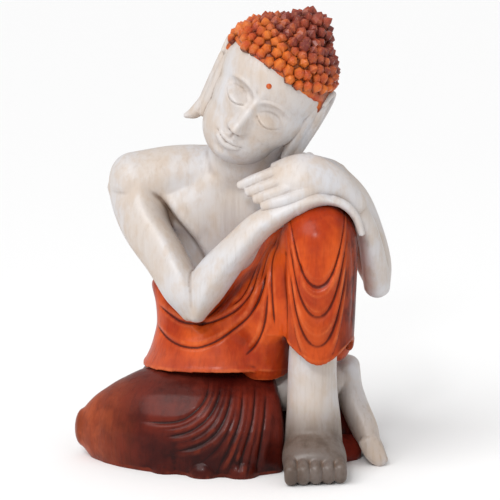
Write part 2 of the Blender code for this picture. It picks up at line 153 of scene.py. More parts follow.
def hanging_cloth(stations, hem, wall, lining, sides=110, rows=40, lining_rows=8):
    """Cloth round the body: a skin from the top down to its hem, and a lining that goes back up inside.

    A station is (z, x, y, a, b), from the top down. At turn t and height z the skin stands at
    (x + a sin t, y - b cos t, z) and ends at z = hem(t). The lining is a wall's width further in,
    and goes from 1 above the hem up by its own length.
    """
    turn = np.linspace(0, 2 * math.pi, sides, endpoint=False)
    table = np.array(stations, float)[::-1]
    top, down, up = stations[0][0], np.linspace(0, 1, rows)[:, None], np.linspace(0, 1, lining_rows)[:, None]
    heights = np.vstack([top + (hem(turn) - top) * down, hem(turn) + 1 + lining * up])
    inward = wall * (np.arange(len(heights)) >= rows)[:, None]
    x, y, a, b = (np.interp(heights, table[:, 0], column) for column in table.T[1:])
    return closed_rings(
        np.stack([x + np.sin(turn) * (a - inward), y - np.cos(turn) * (b - inward), heights], axis=-1)
    )


# Carving


def rise(value, low, high):
    """0 below low and 1 above high, with a smooth step 3t^2 - 2t^3 between."""
    t = np.clip((value - low) / (high - low), 0, 1)
    return t * t * (3 - 2 * t)


def swell(value, centre, width):
    """A mound exp(-u^2) of height 1, u widths away from its centre."""
    return np.exp(-(((value - centre) / width) ** 2))


def bump(x, z, centre_x, centre_z, wide, high):
    """A mound exp(-u^2 - v^2) of height 1, the same on both sides of x = 0."""
    return swell(np.abs(x), centre_x, wide) * swell(z, centre_z, high)


def signed_distance(points, line):
    """Distance of each (x, z) point to a line of short pieces, above 0 on the left of its way.

    Also gives how far along the line the nearest place is.
    """
    start, step = line[:-1], np.diff(line, axis=0)
    length = np.linalg.norm(step, axis=1)
    best, signed, along = np.full(len(points), 1e9), np.zeros(len(points)), np.zeros(len(points))
    for a, s, piece, passed in zip(start, step, length, np.cumsum(length) - length):
        way = np.clip(((points - a) @ s) / (s @ s), 0, 1)
        away = points - a - way[:, None] * s
        distance = np.linalg.norm(away, axis=1)
        nearer = distance < best
        best = np.where(nearer, distance, best)
        signed = np.where(nearer, distance * np.sign(s[0] * away[:, 1] - s[1] * away[:, 0]), signed)
        along = np.where(nearer, passed + way * piece, along)
    return signed, along


def knife_cut(distance, width):
    """A groove -exp(-|d / w|^1.4) and a swelling 3 widths to its left, 2.2 widths wide and 0.45 high."""
    return 0.45 * swell(distance, 3 * width, 2.2 * width) - np.exp(-np.abs(distance / width) ** 1.4)


def cuts(points, lines, width, fade=9):
    """The sum of knife cuts along smooth lines of (x, z) points, fading in and out at the ends.

    Only the points in a box round the line are cut. Its margin of 8 widths takes in the swelling.
    """
    height, flat = np.zeros(len(points)), points[:, [0, 2]]
    for line in lines:
        path = smooth_path(line, 7)
        middle, half = (path.min(axis=0) + path.max(axis=0)) / 2, np.ptp(path, axis=0) / 2
        near = (np.abs(flat - middle) < half + 8 * width).all(axis=1)
        length = np.linalg.norm(np.diff(path, axis=0), axis=1).sum()
        distance, along = signed_distance(flat[near], path)
        height[near] += knife_cut(distance, width) * rise(np.minimum(along, length - along), 0, fade)
    return height


class Carving:
    """One fused form on its way to being a piece: its mesh, and its points in millimetres."""

    def __init__(self, name, forms, grid, rounding):
        """Fuses closed forms on a grid of cubes and rounds the creases by averaging neighbours."""
        points, faces = joined(forms)
        rough = bpy.data.meshes.new(name)
        rough.from_pydata(points.tolist(), [], faces)
        block = bpy.data.objects.new(name, rough)
        bpy.context.scene.collection.objects.link(block)
        remesh = block.modifiers.new("grid", "REMESH")
        remesh.mode = "VOXEL"
        remesh.voxel_size = grid
        block.modifiers.new("rounding", "SMOOTH").iterations = rounding
        self.name = name
        self.mesh = bpy.data.meshes.new_from_object(
            block.evaluated_get(bpy.context.evaluated_depsgraph_get())
        )
        bpy.data.objects.remove(block)
        self.read()

    def read(self):
        """Takes the points and their normals from the mesh."""
        count = len(self.mesh.vertices)
        self.points, self.normals = np.empty(count * 3), np.empty(count * 3)
        self.mesh.vertices.foreach_get("co", self.points)
        self.mesh.vertices.foreach_get("normal", self.normals)
        self.points, self.normals = self.points.reshape(-1, 3), self.normals.reshape(-1, 3)

    def put(self, points):
        """Moves the mesh's points to new places."""
        self.mesh.vertices.foreach_set("co", np.ravel(points))
        self.mesh.update()
        self.read()

    def form(self):
        """The points and faces, to be fused into another carving."""
        return self.points, [list(face.vertices) for face in self.mesh.polygons]

    def raise_by(self, height):
        """Moves each point out along its normal by its height."""
        self.put(self.points + self.normals * height[:, None])

    def averaged(self, values, passes):
        """Each point's values taken half way to the mean of its neighbours, again and again."""
        edges = np.empty(len(self.mesh.edges) * 2, int)
        self.mesh.edges.foreach_get("vertices", edges)
        a, b = edges.reshape(-1, 2).T
        count = len(values)
        share = np.bincount(a, minlength=count) + np.bincount(b, minlength=count)
        for _ in range(passes):
            columns = [np.bincount(a, v[b], count) + np.bincount(b, v[a], count) for v in values.T]
            values = 0.5 * values + 0.5 * np.stack(columns, axis=-1) / share[:, None]
        return values

    def hollow(self, passes):
        """How far each point lies below its averaged surface, in millimetres."""
        return ((self.averaged(self.points, passes) - self.points) * self.normals).sum(axis=1)

    def saw_flat(self):
        """Cuts off what lies under the ground and closes the cut."""
        form = bmesh.new()
        form.from_mesh(self.mesh)
        cut = bmesh.ops.bisect_plane(form, geom=form.verts[:] + form.edges[:] + form.faces[:],
                                     plane_co=(0, 0, 0), plane_no=(0, 0, -1), clear_outer=True)
        edges = [part for part in cut["geom_cut"] if isinstance(part, bmesh.types.BMEdge)]
        filled = bmesh.ops.holes_fill(form, edges=edges, sides=0)
        bmesh.ops.triangulate(form, faces=filled["faces"])
        form.to_mesh(self.mesh)
        form.free()
        self.read()

    def finish(self, material, **marks):
        """Makes the piece: in metres, in the CAD's place, with its marks as point attributes."""
        self.mesh.vertices.foreach_set("co", ((self.points + SET_DOWN) * MM).ravel())
        self.mesh.update()
        self.mesh.shade_smooth()
        add_piece(self.name, self.mesh, material, hollow=self.hollow(CUT_PASSES),
                  dell=self.hollow(DELL_PASSES), **marks)


def add_piece(name, mesh, material, **marks):
    """Adds a finished mesh to the scene in place of the CAD's figure, with a number for each point."""
    for label, values in marks.items():
        attribute = mesh.attributes.new(label, "FLOAT", "POINT")
        attribute.data.foreach_set("value", values.astype(np.float32))
    mesh.materials.clear()
    mesh.materials.append(material)
    piece = bpy.data.objects.new(name, mesh)
    bpy.context.scene.collection.objects.link(piece)
    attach(piece, "root")
    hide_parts("figure")


# Paints


class Wire:
    """A shader socket that can be added, subtracted and multiplied."""

    def __init__(self, paint, socket):
        self.paint, self.socket = paint, socket

    def __add__(self, other):
        return self.paint.node("Math", {"operation": "ADD"}, self, other)

    __radd__ = __add__

    def __sub__(self, other):
        return self.paint.node("Math", {"operation": "SUBTRACT"}, self, other)

    def __rsub__(self, other):
        return self.paint.node("Math", {"operation": "SUBTRACT"}, other, self)

    def __mul__(self, other):
        return self.paint.node("Math", {"operation": "MULTIPLY"}, self, other)

    __rmul__ = __mul__

    def __neg__(self):
        return self * -1

    def between(self, low, high):
        """0 below low and 1 above high, with a smooth step between."""
        return self.paint.node("MapRange", {"interpolation_type": "SMOOTHSTEP"}, self, low, high, 0, 1)


class Paint:
    """A material: a Principled shader and the nodes that feed it."""

    def __init__(self, name, **fixed):
        self.material = bpy.data.materials.new(name)
        self.material.use_nodes = True
        self.nodes, self.links = self.material.node_tree.nodes, self.material.node_tree.links
        self.shader = self.nodes["Principled BSDF"]
        for socket, value in fixed.items():
            self.shader.inputs[socket.replace("_", " ")].default_value = value
        self.place = self.node("TexCoord", out="Object")
        self.x, self.y, self.z = (self.node("SeparateXYZ", None, self.place, out=axis) for axis in "XYZ")
        self.hollow, self.dell = self.mark("hollow"), self.mark("dell")

    def node(self, kind, settings=None, *values, out=0, **named):
        """Any node: its settings first, then values or wires for its sockets in turn or by name."""
        node = self.nodes.new("ShaderNode" + kind)
        for setting, value in (settings or {}).items():
            setattr(node, setting, value)
        sockets = [(node.inputs[n], value) for n, value in enumerate(values)]
        sockets += [(node.inputs[label], value) for label, value in named.items()]
        for socket, value in sockets:
            if isinstance(value, Wire):
                self.links.new(value.socket, socket)
            else:
                socket.default_value = value
        return Wire(self, node.outputs[out])

    def mark(self, label):
        """A number that the carving left on each point."""
        return self.node("Attribute", {"attribute_name": label}, out="Fac")

    def mix(self, share, first, second):
        """A colour between two, by a share from 0 to 1."""
        node = self.nodes.new("ShaderNodeMix")
        node.data_type = "RGBA"
        sockets = [node.inputs["Factor"]] + [s for s in node.inputs if s.type == "RGBA"]
        for socket, value in zip(sockets, (share, first, second)):
            if isinstance(value, Wire):
                self.links.new(value.socket, socket)
            else:
                socket.default_value = value
        return Wire(self, next(s for s in node.outputs if s.type == "RGBA"))

    def noise(self, repeats, detail=3.0, roughness=0.5, low=0.3, high=0.7):
        """Fractal noise from 0 to 1, with so many repeats per metre along X, Y and Z."""
        place = self.node("VectorMath", {"operation": "MULTIPLY"}, self.place, repeats)
        cloud = self.node("TexNoise", None, Vector=place, Scale=1.0, Detail=detail, Roughness=roughness,
                          out="Fac")
        return cloud.between(low, high)

    def finish(self, colour, roughness, relief, depth):
        """Wires the shader. The relief goes from 0 to 1 and is depth metres deep."""
        tilt = self.node("Bump", None, Distance=depth, Strength=1.0, Height=relief)
        for socket, value in (("Normal", tilt), ("Base Color", colour), ("Roughness", roughness)):
            self.links.new(value.socket, self.shader.inputs[socket])
        return self.material


def paint_colour(red, green, blue):
    """A colour as the eye names it, 0 to 255, made linear for the shader."""
    share = np.array((red, green, blue)) / 255
    linear = np.where(share <= 0.04045, share / 12.92, ((share + 0.055) / 1.055) ** 2.4)
    return (*linear.tolist(), 1.0)


def whitewash():
    """Thin white paint over wood, grain showing, with painted highlights on ridges and painted shade in
    hollows.
    """
    paint = Paint("whitewashed_wood", Coat_Roughness=0.3, Coat_Weight=0.08)
    warmth = paint.noise((22, 22, 15), 4)
    smears = paint.noise((65, 65, 38), 4, 0.6, 0.42, 0.68)
    grain = paint.noise((330, 330, 14), 4, 0.65, 0.46, 0.74)
    low_down = (-paint.z).between(-0.11, 0.0)
    foot = (-paint.z).between(-0.07, -0.03) * (-paint.y).between(0.035, 0.055)
    # Painted shade at the elbow, whose underside is turned from the light.
    elbow_shade = (-paint.z).between(-0.165, -0.125) * (-paint.x).between(0.0, 0.03)
    body = paint.mix(warmth, paint_colour(197, 196, 199), paint_colour(194, 183, 174))
    # Painted highlight: whiter on the ridges.
    ridge_highlight = paint.mix((-paint.dell).between(0.4, 3.0) * 0.8, body, paint_colour(213, 215, 220))
    # Painted shade: browner in the dells.
    low = paint.mix(paint.dell.between(0.2, 3.0) * 0.85, ridge_highlight, paint_colour(162, 134, 112))
    low = paint.mix(low_down * 0.5, low, paint_colour(152, 134, 120))
    # Painted shade laid over the elbow.
    low = paint.mix(elbow_shade * 0.45, low, paint_colour(152, 144, 141))
    smeared = paint.mix(smears * 0.5, low, paint_colour(184, 162, 140))
    grained = paint.mix(grain * (0.16 + 0.42 * low_down), smeared, paint_colour(146, 124, 102))
    stained = paint.mix(foot * (0.82 + 0.15 * smears), grained, paint_colour(76, 60, 50))
    # Painted shade: darker in the carved cuts.
    cut = paint.mix(paint.hollow.between(0.04, 0.5) * 0.75, stained, paint_colour(96, 72, 54))
    return paint.finish(cut, 0.42 + 0.14 * smears, grain, 0.00012)


def lacquer(name, light, middle, dark, edge, changes=()):
    """Lacquer over carved cloth, with a painted highlight on the ridges and painted shade in the dells and
    cuts.

    Each change is (share of the paint, colour), laid over the ground colour.
    """
    paint = Paint(name, Coat_Roughness=0.22, Coat_Weight=0.18, Specular_IOR_Level=0.06)
    clouds = paint.noise((24, 24, 17), 4, 0.6, 0.36, 0.64)
    brush = paint.noise((260, 260, 45), 3, 0.6, 0.45, 0.75)
    # Random patches that vary the tints and the painted highlight on the edges.
    rubbed = paint.noise((70, 70, 50), 3, 0.6, 0.4, 0.65)
    colour = paint.mix(clouds, middle, light)
    for share, tint in changes:
        colour = paint.mix(share(paint) * (0.55 + 0.45 * rubbed), colour, tint)
    # Painted shade: the dark colour in the dells.
    colour = paint.mix(paint.dell.between(0.2, 2.6) * 0.85, colour, dark)
    # Painted highlight: the edge colour along the edges, in random patches.
    colour = paint.mix((-paint.hollow).between(0.05, 0.4) * (0.15 + 0.45 * rubbed), colour, edge)
    # Painted shade: the dark colour in the cuts.
    colour = paint.mix(paint.hollow.between(0.04, 0.45) * 0.8, colour, dark)
    colour = paint.mix(brush * 0.18, colour, dark)
    return paint.finish(colour, 0.3 + 0.16 * clouds, brush, 0.00018)


def hair_lacquer():
    """Lacquer that darkens from the brow towards the crown, with painted shade in the gaps between the
    curls.
    """
    paint = Paint("hair_lacquer", Coat_Roughness=0.2, Coat_Weight=0.15, Specular_IOR_Level=0.2)
    clouds = paint.noise((70, 70, 70), 3, 0.6)
    fleck = paint.noise((420, 420, 420), 3, 0.6, 0.5, 0.75)
    low = paint.mix(clouds, paint_colour(206, 110, 40), paint_colour(176, 64, 26))
    high = paint.mix(clouds, paint_colour(152, 66, 44), paint_colour(104, 40, 34))
    colour = paint.mix((paint.mark("crown") + 0.4 * clouds - 0.2).between(0.1, 0.8), low, high)
    # Painted shade at the feet of the curls and on the cap in the gaps between them.
    colour = paint.mix(paint.mark("foot") * 0.9, colour, paint_colour(72, 18, 14))
    colour = paint.mix(fleck * 0.25, colour, paint_colour(222, 150, 104))
    return paint.finish(colour, 0.34 + 0.14 * clouds, fleck, 0.00015)


def paints():
    """The paint of each part. The places where a paint changes are in metres of the CAD's frame."""
    # Painted shade down the knee's far side, away from the light.
    def knee_side_shade(paint):
        return paint.x.between(0.086, 0.102) * (-paint.y).between(0.03, 0.05)

    def knee_foot(paint):
        return (-paint.z).between(-0.18, -0.12) * paint.x.between(0.045, 0.055) * 0.6

    # Painted sheen on the lower band of the waist cloth, above its hem.
    def lower_band_sheen(paint):
        return (-paint.z).between(-0.11, -0.092) * (-paint.x).between(-0.03, 0.02) * 0.5

    def knee_tip(paint):
        return (-paint.x).between(0.07, 0.145)

    def sheen(paint):
        return paint.z.between(0.04, 0.075) * (-paint.x).between(0.0, 0.05) * 0.5

    def foot_of_skirt(paint):
        return (-paint.z).between(-0.06, -0.015) * (0.12 + paint.x).between(0.0, 0.07)

    def beside_foot(paint):
        return paint.x.between(0.07, 0.1)

    return {
        "wood": whitewash(),
        # For each lacquer: light, middle, then dark, which is painted shade and also the brush strokes, then
        # the painted highlight of the edges.
        "robe": lacquer("orange_lacquer", paint_colour(200, 80, 26), paint_colour(156, 48, 16),
                        paint_colour(60, 10, 5), paint_colour(214, 108, 58),
                        # The dark down the knee's far side is painted shade; the pale of the lower band is a
                        # painted sheen.
                        [(knee_foot, paint_colour(120, 34, 10)), (knee_side_shade, paint_colour(72, 16, 8)),
                         (lower_band_sheen, paint_colour(168, 84, 66))]),
        "skirt": lacquer("maroon_lacquer", paint_colour(98, 30, 18), paint_colour(58, 12, 8),
                         paint_colour(24, 4, 3), paint_colour(124, 46, 26),
                         [(sheen, paint_colour(96, 44, 36)), (knee_tip, paint_colour(158, 74, 42)),
                          (foot_of_skirt, paint_colour(36, 5, 4))]),
        "base": lacquer("dark_lacquer", paint_colour(84, 26, 20), paint_colour(56, 16, 12),
                        paint_colour(26, 6, 5), paint_colour(110, 42, 30),
                        [(beside_foot, paint_colour(128, 40, 28))]),
        "hair": hair_lacquer(),
    }


# Body

CHEST_EDGE = [(-70, 246), (-60, 236), (-53, 227), (-46, 217), (-37, 206), (-29, 195), (-22, 183), (-12, 164)]


def trunk():
    """The trunk and neck, with the spine, the shoulder blades and the overhanging edge of the chest."""
    made = Carving("trunk", [
        limb([(-8, 28, 112, 50, 34), (-8, 28, 128, 52, 36), (-5, 29, 155, 64, 38), (0, 25, 190, 74, 40),
              (4, 18, 220, 79, 38), (8, 14, 244, 72, 33), (12, 10, 264, 42, 24)]),
        limb([(-87, 12, 243, 31, 29), (-45, 15, 252, 28, 28), (8, 15, 252, 26, 27), (50, 15, 249, 26, 27),
              (82, 14, 242, 26, 26)], across=UP),
        egg((-28, 0, 222), (48, 19, 34)),
        egg((34, -3, 226), (46, 22, 34)),
        limb([(8, 14, 250, 38, 30), (14, -3, 278, 33, 30), (24, -12, 302, 34, 33), (34, -14, 318, 36, 34)]),
    ], BODY_GRID * 1.2, 14)
    x, y, z = made.points.T
    back, front = rise(made.normals[:, 1], 0.2, 0.7), rise(-made.normals[:, 1], 0.0, 0.5)
    spine = -3.5 * swell(x, 4, 8) * rise(z, 120, 190) * rise(-z, -262, -235)
    blades = 4.5 * bump(x - 4, z, 36, 222, 18, 22)
    ribs = 0.8 * np.sin((z - 160) / 5.5) * rise(z, 160, 175) * rise(-z, -205, -190)
    ribs *= rise(np.abs(x - 4), 20, 45)
    edge, _ = signed_distance(made.points[:, [0, 2]], smooth_path(CHEST_EDGE, 8))
    under = -13 * rise(-edge, 0, 8) * rise(edge, -60, -30) * rise(z, 150, 165) * rise(-z, -244, -230)
    lip = 2.6 * swell(edge, 4, 5) * rise(z, 165, 185) * rise(-z, -242, -228)
    valley = -2.4 * swell(x + 0.35 * (z - 215), 2, 11) * rise(z, 175, 195) * rise(-z, -255, -240)
    made.raise_by((spine + blades + ribs) * back + (under + lip + valley) * front)
    return made


def arm_forms():
    """A round shoulder, and both arms down to the wrists with a ridge down their front."""
    return [
        egg((-83.5, 6, 227), (23, 26, 26)),
        limb([(-82, 12, 243, 30, 29), (-81, 4, 224, 25, 28), (-75, -8, 206, 21, 28),
              (-57.5, -28, 182, 18.8, 26), (-43, -44, 158, 17, 22), (-35, -51, 139, 9, 12)],
             ends=(0.5, 0.6), ridge=1.25, steps=12, sides=64),
        limb([(-33, -52, 138, 11, 9), (-26, -53, 157, 17, 16), (-15.5, -55, 174, 18.5, 17),
              (5, -60, 199, 17, 14), (22, -63, 217, 14, 12.5), (41, -64, 229, 12.5, 10),
              (56, -63, 236, 12.5, 8.5), (68, -61, 240, 13, 7.5)],
             across=AWAY, ends=(0.6, 0.6), ridge=1.25, steps=12, sides=64),
        limb([(83, 14, 240, 27, 26), (103, 10, 226, 21, 22), (117, 1, 200, 17.5, 19.5),
              (125, -6, 174, 15.5, 18), (129, -11, 154, 10, 12)], ends=(0.6, 0.7), ridge=1.1),
        limb([(127, -13, 158, 12, 13), (122, -25, 186, 11, 13), (115.5, -34, 211, 9.5, 12),
              (109, -39, 224, 9.5, 11.5), (102, -43, 236, 10.5, 11.5), (90, -48, 249, 12, 11),
              (78, -50, 257, 14, 10)], ends=(0.9, 0.6), ridge=1.1),
    ]


def right_hand_forms():
    """The hand that lies over the knee, thin at its edge, with its fingers down the far side."""
    first = np.array([(84, -66, 240, 4.8, 4.2), (95, -65, 235, 4.8, 4.0), (104, -63, 225, 4.5, 3.6),
                      (109, -61, 211, 4.0, 3.2)])
    to_next = np.array((0, 9, 0, 0, 0))
    fingers = [limb(first + n * to_next, across=AWAY, sides=20) for n in range(4)]
    return [
        limb([(52, -63, 234, 12.5, 9), (66, -61, 239.5, 14, 7.5), (78, -56, 240, 17, 5.6),
              (90, -53, 237, 17, 4.2)], across=AWAY, ends=(0.6, 0.6), ridge=1.1),
        *fingers,
    ]


def left_hand_forms():
    """The hand under the cheek: a tilted plate from the wrist to the knuckles, and four long fingers."""
    first = np.array([(66, -46, 273, 6.2, 5.4), (48, -54, 267, 6.0, 5.4), (28, -57, 259.5, 5.6, 5.2),
                      (16, -56.5, 255, 5.2, 4.9), (6, -55, 251, 4.0, 3.7)])
    to_next = np.array([(3.8, -4.6, -7.4, 0, 0), (4.7, -4.4, -7, 0, 0), (5.6, -4.2, -6.4, 0, 0),
                        (6.2, -4, -5.9, 0, 0), (6.6, -4, -5.5, 0, 0)])
    fingers = [limb(first + n * to_next, across=UP, sides=24) for n in range(4)]
    tilt = (0, 0.5, 1)
    return [
        limb([(104, -46, 234, 11, 11), (92, -51, 248, 13, 11), (78, -56, 257, 16.5, 10.5),
              (64, -59, 261, 18.5, 9.5), (50, -60, 260, 18, 7.5), (36, -59, 256, 16, 5)],
             across=tilt, ends=(0.9, 0.5)),
        limb([(70, -42, 254, 19, 12), (44, -46, 248, 16, 11), (24, -48, 244, 12, 8)], across=tilt),
        *fingers,
    ]


def front_leg(name):
    """The shin and the foot, rounded together, then the five square toes and their nails."""
    core = Carving(name, [
        limb([(72, -48, 150, 21, 23), (69, -48, 100, 21, 23), (69, -47, 70, 22, 22), (70, -46, 45, 24, 24),
              (70, -46, 8, 27, 30)]),
        limb([(70, -28, 16, 21, 26), (70, -48, 18, 25.5, 30), (70, -68, 17, 28, 22), (70, -86, 13, 27, 15)],
             ends=(0.6, 0.4)),
    ], FINE_GRID * 1.4, 18)
    forms = [core.form()]
    for n in range(5):
        x, y = 48.8 + 10.6 * n, -100 + 1.7 * n
        forms += [
            limb([(x, y + 24, 14, 5.9, 10), (x, y + 8, 12.5, 5.6, 10), (x, y, 9.5, 5.7, 9.5)],
                 sides=28, ends=(0.6, 0.75), ridge=0.75),
            egg((x, y - 2.4, 14.6), (3.6, 3.4, 3.2), 20),
        ]
    return Carving(name, forms, FINE_GRID, 2)


def back_leg(name):
    """The shin that lies across behind, and the foot that comes out beside the front one."""
    first = np.array([(119, 9, 22, 9, 5.4), (125, 8, 11, 9, 5.3), (131.5, 6, 3.5, 6.5, 4.4)])
    to_next = np.array([(0, -9.6, 0, 0, 0), (0, -9.9, 0, 0, 0), (0, -9.9, 0, 0, 0)])
    toes = [limb(first + n * to_next, sides=24) for n in range(5)]
    return Carving(name, [
        limb([(10, 0, 58, 20, 20), (50, -2, 62, 19, 19), (102, 2, 74, 15, 16)], across=AWAY),
        limb([(102, 6, 82, 12, 19), (104, 4, 62, 12.5, 19), (110, 0, 44, 12.5, 22), (118, -6, 26, 12, 25),
              (122, -8, 16, 10, 25)], ends=(0.8, 0.7)),
        *toes,
    ], FINE_GRID * 1.1, 4)


# Cloth

# Fold lines are (x, z) points as seen from the front, also those on the back.
LAP_FOLDS = [
    [(-70, 139), (-55, 131), (-45, 127), (-30, 127), (-16, 130), (-1, 139), (11, 152), (19, 166), (26, 188)],
    [(-72, 122), (-60, 112), (-46, 107), (-31, 107), (-17, 112), (-5, 119), (6, 129), (15, 140), (22, 155),
     (29, 180)],
    [(9, 99), (17, 108), (23, 119), (27, 132), (29, 146), (30, 168)],
    [(20, 157), (25, 173), (30, 189), (39, 209)],
    [(-6, 141), (6, 152), (14, 165), (24, 186), (34, 203)],
    [(36, 128), (34, 151), (33, 169), (34, 187), (40, 207)],
    [(14, 139), (21, 150), (26, 164), (31, 184)],
]
LAP_VALLEY = [[(49, 112), (47, 130), (44, 152), (42, 176), (43, 202)]]
UNDER_ARM = [[(-34, 122), (-20, 137), (-8, 152), (7, 175), (23, 197), (41, 215)]]
KNEE_FOLDS = [[(50, 205), (49, 180), (51, 150), (54, 124)], [(58, 200), (56, 176), (57, 160)],
              [(99, 214), (102, 186), (102, 150), (99, 124)]]
FAN = np.array([
    [(-21, 86), (-23, 68), (-35, 54), (-52, 46), (-84, 44)],
    [(-9, 85), (-13, 66), (-23, 50), (-41, 38), (-66, 32)],
    [(0, 82), (-4, 59), (-14, 40), (-32, 27), (-60, 19)],
    [(9, 80), (6, 50), (-3, 27), (-12, 9), (-14, -4)],
    [(20, 82), (17, 50), (9, 22), (4, 4), (3, -4)],
    [(29, 78), (27, 50), (23, 22), (20, 4), (20, -4)],
], float)
BACK_FOLDS = [
    [(-78, 152), (-50, 136), (-8, 128), (34, 134), (66, 150)],
    [(-78, 140), (-48, 124), (-6, 116), (38, 122), (70, 138)],
    [(-80, 126), (-46, 110), (-4, 103), (40, 109), (72, 124)],
    [(-84, 96), (-60, 100), (-14, 92), (34, 92), (80, 102)],
    [(-92, 62), (-60, 78), (-14, 82), (26, 72), (60, 48)],
    [(-96, 44), (-60, 62), (-18, 67), (22, 56), (48, 32)],
    [(-104, 26), (-66, 44), (-24, 50), (12, 40), (34, 14)],
    [(96, 44), (70, 70), (34, 84)],
    [(104, 28), (76, 54), (44, 68)],
]
# The U folds under the knee: (level, height of the cloth there).
SWAGS = np.array([
    (100, 0.6), (104, 1.2), (108, 1.0), (112, -0.4), (116.5, -1.8), (118, -2.2), (119.5, -1.6), (122, -0.2),
    (128, 1.5), (133, 1.1), (138, -0.4), (142, -2.0), (143.5, -2.3), (145, -1.6), (148, -0.2), (156, 1.3),
    (161, 1.6), (165, 0.4), (168, -1.8), (169.5, -2.2), (171, -1.0), (176, 0.0),
])
SWAG_MIDDLE, SWAG_HALF = 71, 21
WAIST_AXIS, KNEE_AXIS = (-9, 20), (73, -52)


def turn_round(points, axis):
    """The turn of each point round an upright axis at (x, y), 0 in front."""
    return np.arctan2(points[:, 0] - axis[0], axis[1] - points[:, 1])


def wrapped(turn):
    """A turn between -pi and pi."""
    return (turn + math.pi) % (2 * math.pi) - math.pi


def waist_hem(turn):
    """Level in front, then rising steeply to the open edge beside the shin, and level again behind."""
    turn = wrapped(turn)
    return 83.5 + 2.5 * np.cos(turn * 2) + 26 * rise(turn, 0.9, 1.1) * rise(-turn, -2.6, -1.6)


def knee_hem(turn):
    """Lowest in front, with a lobe behind on the outer side."""
    turn = wrapped(turn)
    return 102 + 17 * rise(np.abs(turn), 0, 1.25) - 14 * swell(turn, 1.85, 0.35)


def robe_forms():
    """The waist cloth, its folds over the lap and up to the knee, and the cloth that hangs from the knee."""
    return [
        hanging_cloth([(158, -4, 31, 71, 43), (150, -5, 30, 69.5, 45), (138, -5, 22.5, 65, 52),
                       (118, -7, 20, 61.5, 58), (96, -8, 19, 66.5, 64), (80, -10, 20, 72.5, 68)],
                      waist_hem, 5, 12),
        limb([(-44, 14, 120, 28, 31), (-20, 5, 124, 30, 36), (5, 0, 130, 34, 42), (30, -8, 142, 36, 50),
              (52, -16, 156, 36, 48)], across=UP, ends=(0.6, 0.8)),
        limb([(27, 0, 84, 26, 37), (27, -3, 100, 26, 42), (30, -8, 134, 24, 50), (37, -14, 170, 21, 48),
              (46, -22, 196, 18, 40)], ends=(0.05, 0.8)),
        limb([(26, 30, 98, 38, 38), (38, 14, 120, 38, 40), (60, -24, 165, 35, 38), (73, -48, 196, 32, 34)],
             ends=(0.15, 0.8)),
        egg((73, -54, 202), (33.5, 34, 34), 56),
        egg((98, -42, 224), (11, 13, 14)),
        egg((90, -18, 110), (15, 22, 19)),
        hanging_cloth([(206, 73, -53, 33, 34), (185, 73, -53, 33.5, 35), (150, 73, -52, 32.5, 35.5),
                       (100, 72.5, -51.5, 31, 36)], knee_hem, 4.5, 30),
    ]


def skirt_forms():
    """The folded leg under its cloth, the seat behind, and three lobes where the cloth meets the ground."""
    lobes = [egg((x, y, 2), (16, 17, 15)) for x, y in ((-57, -46), (-25, -60), (7, -61))]
    return [
        limb([(26, 2, 20, 64, 66), (-10, -6, 20.5, 69, 66), (-50, -6, 22, 58, 63.5), (-82, -2, 23.5, 47, 57),
              (-102, 1, 24.5, 37, 46.5), (-115, 3, 25, 29, 37), (-126, 4, 25.3, 22, 28),
              (-135, 4.5, 25.5, 14, 17.5)], across=AWAY, ends=(0.2, 0.55)),
        *lobes,
        egg((-38, 46, 44), (54, 46, 48)),
        egg((42, 44, 44), (52, 44, 48)),
        limb([(-84, 30, 18, 34, 28), (-10, 36, 16, 46, 32), (50, 36, 16, 44, 32), (97, 26, 18, 36, 32)],
             across=AWAY),
    ]


def swags(points):
    """Nested U folds under the knee: level = z - 26 out^2 - 16 out^4 looks up the cloth's height."""
    out = (points[:, 0] - SWAG_MIDDLE) / SWAG_HALF
    level = points[:, 2] - 26 * out**2 - 16 * out**4
    return np.interp(level, *SWAGS.T, left=0, right=0) * rise(-np.abs(out), -1.3, -0.8)


def carve_robe(robe):
    """Rubs the creases between the robe's forms smooth, then cuts its folds and raises its hems."""
    x, y, z = robe.points.T
    on_knee = rise(x, 44, 47) * rise(-y, 40, 44)
    rubbed = (1 - on_knee) * rise(z - waist_hem(turn_round(robe.points, WAIST_AXIS)), 2, 9)
    robe.put(robe.points + (robe.averaged(robe.points, RUB_PASSES) - robe.points) * rubbed[:, None])
    front, back = rise(-robe.normals[:, 1], -0.1, 0.4), rise(robe.normals[:, 1], 0.0, 0.5)
    x, y, z = robe.points.T
    lap = 1.9 * cuts(robe.points, LAP_FOLDS, 1.3, 14) + 3.0 * cuts(robe.points, LAP_VALLEY, 3.0)
    lap += 5.0 * cuts(robe.points, UNDER_ARM, 5.0)
    knee = 0.8 * swags(robe.points) + 1.1 * cuts(robe.points, KNEE_FOLDS, 2.0, 20)
    rim = 0.5 * swell(z - knee_hem(turn_round(robe.points, KNEE_AXIS)), 3.2, 1.6)
    rim *= rise(-np.hypot(x - KNEE_AXIS[0], y - KNEE_AXIS[1]), -46, -42) * rise(-z, -150, -140)
    rim += 0.4 * swell(z - waist_hem(turn_round(robe.points, WAIST_AXIS)), 3.0, 1.8) * (1 - on_knee)
    behind = 1.9 * cuts(robe.points, BACK_FOLDS, 2.0, 22)
    robe.raise_by(((1 - on_knee) * lap + on_knee * knee) * front + behind * back + rim)


def carve_skirt(skirt):
    """Cuts the fan of pleats in front, with a finer one between each two, and the folds behind."""
    front, back = rise(-skirt.normals[:, 1], -0.1, 0.4), rise(skirt.normals[:, 1], 0.0, 0.5)
    middles = 0.5 * (FAN[:-1] + FAN[1:])
    main, fine = cuts(skirt.points, FAN, 1.7, 26), cuts(skirt.points, middles, 1.3, 30)
    skirt.raise_by((1.7 * main + 0.9 * fine) * front + 2.2 * cuts(skirt.points, BACK_FOLDS, 2.0, 22) * back)


# Head and hair

